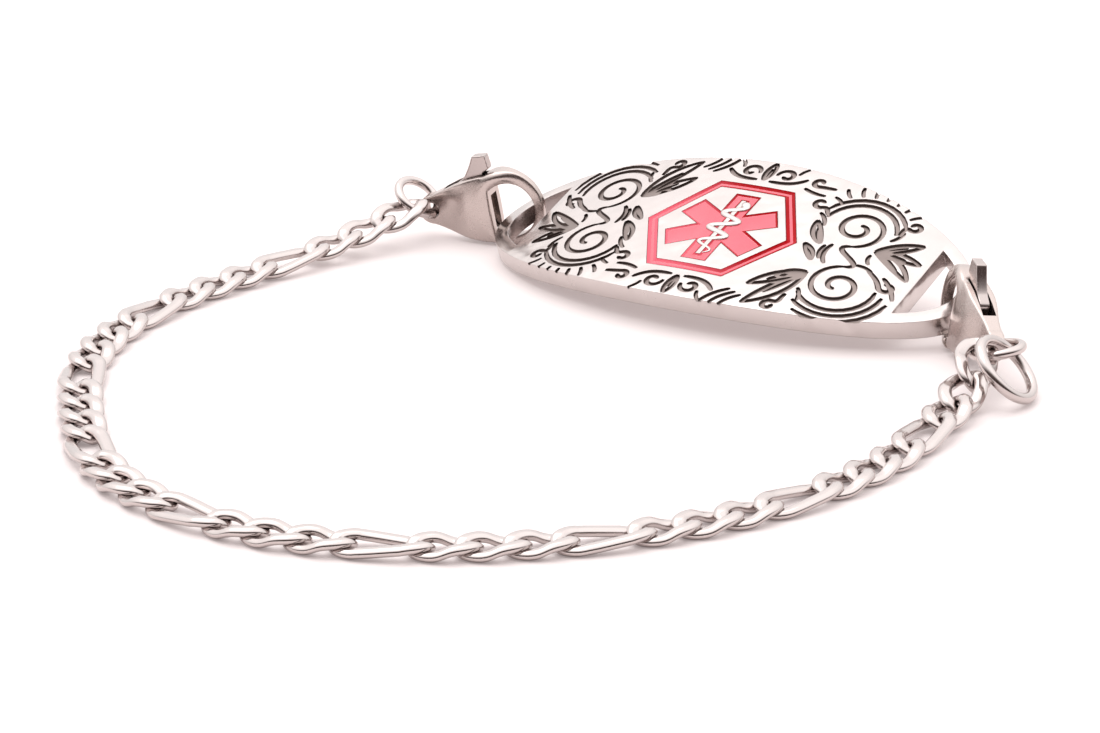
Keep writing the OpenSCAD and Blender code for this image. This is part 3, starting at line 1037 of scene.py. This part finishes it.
for node, make, bands in (("enamel_border", hexagon_ring, BORDER_BANDS), ("enamel_star", star, STAR_BANDS)):
    filling = make("dressed_" + node, -ENAMEL_PLAY, -ENAMEL_DEPTH, 0, enamel)
    meniscus(filling, bands)
    slice_in_strips(filling, ENAMEL_STRIP)
    bend(filling)
    smooth(filling, ENAMEL_SHARP)
    put(filling, PLAQUE_PLACE, PLAQUE_TURN)
    print(node, "off by", dress(filling, enamel, "bracelet", node), "mm")

# %% Snake
SNAKE_WAVES = 3.5
SNAKE_WIDTH = 0.5
SNAKE_HEIGHT = 0.26
SNAKE_SUNK = 0.05
SNAKE_START = -3.35
SNAKE_LENGTH = 6.6
COIL_LEAST = 0.5
COIL_EXTRA = 0.5
COIL_FROM = 0.12
COIL_SPAN = 0.75
TAIL_START = 0.2
TAIL_GROWTH = 2.2
TAIL_TIP = 0.01
HEAD_SWELL = 0.45
HEAD_AT = 0.965
HEAD_LENGTH = 0.018
NOSE = 0.025
SNAKE_STATIONS = 120
SNAKE_SIDES = 12
LOOK_AROUND = 0.004
SNAKE_MERGE = 0.0002


def snake_spot(part):
    """The middle of the snake, from its tail at 0 to its head at 1; the coils in between reach widest."""
    reach = COIL_LEAST + COIL_EXTRA * math.sin(math.pi * min(1, part * COIL_SPAN + COIL_FROM)) ** 2
    return Vector((reach * math.sin(math.tau * SNAKE_WAVES * part), SNAKE_START + SNAKE_LENGTH * part, 0))


def snake_size(part):
    """Its thickness as a share: it grows from the tail, swells at the head, and both tips are round."""
    tail = min(1, TAIL_START + part * TAIL_GROWTH)
    head = HEAD_SWELL * math.exp(-((part - HEAD_AT) / HEAD_LENGTH) ** 2)
    nose = math.sqrt(max(0, 1 - max(0, (part - (1 - NOSE)) / NOSE) ** 2))
    return (tail + head) * nose * math.sqrt(min(1, part / TAIL_TIP))


deselect_all()
bpy.ops.mesh.primitive_grid_add(x_subdivisions=SNAKE_SIDES, y_subdivisions=SNAKE_STATIONS, size=1)
snake = bpy.context.object
snake.name = "snake"
for k in range(SNAKE_STATIONS + 1):
    part = k / SNAKE_STATIONS
    way = (snake_spot(min(1, part + LOOK_AROUND)) - snake_spot(max(0, part - LOOK_AROUND))).normalized()
    for j in range(SNAKE_SIDES + 1):
        angle = math.tau * j / SNAKE_SIDES
        across = math.cos(angle) * SNAKE_WIDTH / 2 * snake_size(part)
        lift = math.sin(angle) * SNAKE_HEIGHT / 2 * snake_size(part)
        spot = snake_spot(part) + Vector((-way.y, way.x, 0)) * across
        snake.data.vertices[k * (SNAKE_SIDES + 1) + j].co = (spot.x, spot.y, lift - SNAKE_SUNK)
mend(snake, SNAKE_MERGE)
bend(snake)
smooth(snake)
put(snake, PLAQUE_PLACE, PLAQUE_TURN)
snake.data.materials.append(plaque_steel)
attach(snake, "bracelet")
print("snake faces:", len(snake.data.polygons))

# %% Bend and place the plaque
PLAQUE_SHARP = 40

bend(plaque)
smooth(plaque, PLAQUE_SHARP)
put(plaque, PLAQUE_PLACE, PLAQUE_TURN)
print("plaque off by", dress(plaque, plaque_steel, "bracelet", "plaque"), "mm")

# %% [markdown]
# ## Lobster clasps
# A clasp is cast as one body: tail eye, domed housing and hook. It is drawn in its side view, joined
# from plates, and then made into one skin with even faces, which is smoothed so that every edge rolls
# over as on a tumbled casting. Its thickness follows the plan: full at the housing, slim at the hook.
# The channel for the lever is cut last, so its edges stay sharp.

# %% Clasp outlines
THROUGH = 2
TAIL_EYE = 1.15
EYE_HOLE = 0.62
HOUSING_FRONT = 5.3
HOOK_CENTRE = (6.4, 0)
HOLLOW_CENTRE = (6.6, -0.15)
HOOK_OUTER = 3.05
HOOK_INNER = 2.15
RING_CORE = 1.5
RIVET = (3.6, -0.9)
HALF_THICKNESS = 1.3
THICKNESS_TABLE = [(-2, 0.55), (0.2, 0.6), (3.6, 1.3), (5, 1.3), (8.2, 0.44), (10, 0.38)]
HOUSING = [(0, 1.15), (1.2, 1.62), (2.4, 2.12), (3.6, 2.5), (4.6, 2.7), (HOUSING_FRONT, 2.75),
           (HOUSING_FRONT, -2.7), (4.4, -2.62), (3, -2.28), (1.6, -1.72), (0, -1.15)]
DISC_STEPS = 72
ROUND_STEPS = 60
CORE_STEPS = 40


def arc(centre, radius, start, stop, count):
    angles = [math.radians(start + (stop - start) * k / count) for k in range(count + 1)]
    return [(centre[0] + radius * math.cos(a), centre[1] + radius * math.sin(a)) for a in angles]


def eased(x, table):
    """Reads a table as lookup does, but eases in and out of each row."""
    for (x0, y0), (x1, y1) in zip(table, table[1:]):
        if x0 <= x <= x1:
            part = (x - x0) / (x1 - x0)
            return y0 + (y1 - y0) * part * part * (3 - 2 * part)
    return lookup(x, table)


def ring_sector(outer, start, stop):
    """A piece of the hook's round, from its core outwards, between two angles."""
    inner_line = arc(HOOK_CENTRE, RING_CORE, stop, start, CORE_STEPS)
    return arc(HOOK_CENTRE, outer, start, stop, ROUND_STEPS) + inner_line


def side_plate(outline, half, material=clasp_steel):
    """A plate whose outline is drawn in the side view, centred on the clasp's middle plane."""
    plate = plate_from("plate", outline, -half, half, material)
    plate.data.transform(Matrix.Rotation(math.pi / 2, 4, "X"))
    return plate


def disc(centre, radius, half):
    last = DISC_STEPS - 1
    return side_plate(arc(centre, radius, 0, 360 * last / DISC_STEPS, last), half)


def one_skin(piece, cell, rounds):
    """One closed skin of even faces, with its edges rolled over."""
    skin = piece.modifiers.new("skin", "REMESH")
    skin.mode = "VOXEL"
    skin.voxel_size = cell
    skin.use_smooth_shade = True
    soften = piece.modifiers.new("soften", "SMOOTH")
    soften.factor = 0.5
    soften.iterations = rounds
    apply_modifiers(piece)


# %% Clasp body
SKIN_CELL = 0.07
FIRST_ROUNDS = 2
LAST_ROUNDS = 9
HOOK_SPAN = (-125, 130)
GATE_SWEEP = 2.81
EYE_CLEARANCE = 0.03
DOME = 0.36
DOME_HEIGHT = 2.9
HOOK_DOME = 0.35
HOOK_MIDDLE = 2.55
HOOK_BLEND = [(HOUSING_FRONT - 1, 0), (HOUSING_FRONT + 1.5, 1)]

clasp = side_plate(HOUSING[::-1], HALF_THICKNESS)
hook = side_plate(ring_sector(HOOK_OUTER, *HOOK_SPAN), HALF_THICKNESS)
cut(hook, disc(HOLLOW_CENTRE, HOOK_INNER, THROUGH))
cut(hook, disc(RIVET, GATE_SWEEP, THROUGH))
cut(clasp, hook, "UNION")
cut(clasp, disc((0, 0), TAIL_EYE, HALF_THICKNESS), "UNION")
cut(clasp, disc((0, 0), EYE_HOLE - EYE_CLEARANCE, THROUGH))
one_skin(clasp, SKIN_CELL, FIRST_ROUNDS)
for vertex in clasp.data.vertices:
    x, y, z = vertex.co
    at_hook = eased(x, HOOK_BLEND)
    across = (math.hypot(x - HOOK_CENTRE[0], z) - HOOK_MIDDLE) / (HOOK_OUTER - HOOK_MIDDLE)
    dome = 1 - DOME * (z / DOME_HEIGHT) ** 2 * (1 - at_hook) - HOOK_DOME * min(1, across * across) * at_hook
    vertex.co.y = y / HALF_THICKNESS * eased(x, THICKNESS_TABLE) * dome
one_skin(clasp, SKIN_CELL, LAST_ROUNDS)
print("clasp skin faces:", len(clasp.data.polygons))

# %% Lever channel and rivet
CHANNEL = (1.3, 5.1)
CHANNEL_MOUTH = HOUSING_FRONT + 0.1
CHANNEL_ROOF = 1.1
HALF_CHANNEL = 0.5
BEYOND = 5
RIVET_RADIUS = 0.4
RIVET_SET_IN = 0.02
BODY_SHARP = 45


def channel_cutter(start, stop, top):
    """A slab in the middle plane, open below, from start to stop along the clasp and up to the top."""
    return side_plate([(start, -BEYOND), (stop, -BEYOND), (stop, top), (start, top)], HALF_CHANNEL)


cut(clasp, channel_cutter(*CHANNEL, BEYOND))
cut(clasp, channel_cutter(CHANNEL[0], CHANNEL_MOUTH, CHANNEL_ROOF))
cut(clasp, disc(RIVET, RIVET_RADIUS, HALF_CHANNEL + RIVET_SET_IN), "UNION")
smooth(clasp, BODY_SHARP)
print("clasp faces:", len(clasp.data.polygons))

# %% [markdown]
# ## Lever
# The lever turns on the rivet. Its back fills the channel, its thumb rest stands out above the housing,
# and its gate closes the gap of the hook. The back is a flowing line through a few points. The gate is
# the part of the hook's round that lies within the rivet's reach, so it swings clear of the hook's tip.

# %% Lever
LEVER_BACK = [(2.7, -1.2), (2.45, 0.4), (2.35, 1.85), (3.1, 2.45), (3.7, 3.3), (4.2, 4.25)]
LEVER_FRONT = [(5.3, 4.3), (5.45, 3.2), (4.9, 2.9), (4.9, 2.6),
               (4.6, 1), (4.5, -0.6), (4.7, -1.7), (3.6, -1.85)]
BACK_STEPS = 5
HALF_LEVER = 0.4
BOSS_RADIUS = 0.95
RIVET_HOLE = 0.45
GATE_SPAN = (-165, -90)
GATE_REACH = 2.73
GATE_STEP = 0.05
LEVER_CELL = 0.055
LEVER_ROUNDS = 14
LEVER_SHARP = 60


def flowing(points, steps):
    """A line through the points that bends evenly: each stretch leaves in the direction of its neighbours."""
    line = []
    for k in range(len(points) - 1):
        before, start = Vector(points[max(k - 1, 0)]), Vector(points[k])
        end, after = Vector(points[k + 1]), Vector(points[min(k + 2, len(points) - 1)])
        for step in range(steps):
            t = step / steps
            first = (end - before) * t
            second = (2 * before - 5 * start + 4 * end - after) * t ** 2
            third = (3 * start - before - 3 * end + after) * t ** 3
            line.append(start + 0.5 * (first + second + third))
    return [tuple(point) for point in line] + [points[-1]]


lever_outline = flowing(LEVER_BACK, BACK_STEPS) + LEVER_FRONT
lever = side_plate(lever_outline[::-1], HALF_LEVER, lever_steel)
cut(lever, disc(RIVET, BOSS_RADIUS, HALF_LEVER), "UNION")
gate = side_plate(ring_sector(HOOK_OUTER - GATE_STEP, *GATE_SPAN), HALF_LEVER)
cut(gate, disc(RIVET, GATE_REACH, THROUGH), "INTERSECT")
cut(gate, disc(HOLLOW_CENTRE, HOOK_INNER, THROUGH))
cut(lever, gate, "UNION")
one_skin(lever, LEVER_CELL, LEVER_ROUNDS)
cut(lever, disc(RIVET, RIVET_HOLE, THROUGH))
smooth(lever, LEVER_SHARP)
print("lever faces:", len(lever.data.polygons))

# %% Place both clasps
CLASPS = {"left": ((-8.7, 29.75, 2.25), (5, -8, -24.5)),
          "right": ((30.75, -4.14, 2.51), (7.9, -6, 104.2))}

for side, (clasp_place, clasp_turn) in CLASPS.items():
    for master, node, body, slot_name, steel in (
            (clasp, "clasp_body", "bracelet", "clasp", clasp_steel),
            (lever, "clasp_lever", side + "_lever", "lever", lever_steel)):
        piece = copied(master, f"dressed_{side}_{node}")
        piece.data.materials.clear()
        put(piece, clasp_place, clasp_turn)
        print(side, node, "off by", dress(piece, steel, body, f"{side}_{node}"), "mm")
for master in (clasp, lever):
    bpy.data.objects.remove(master)
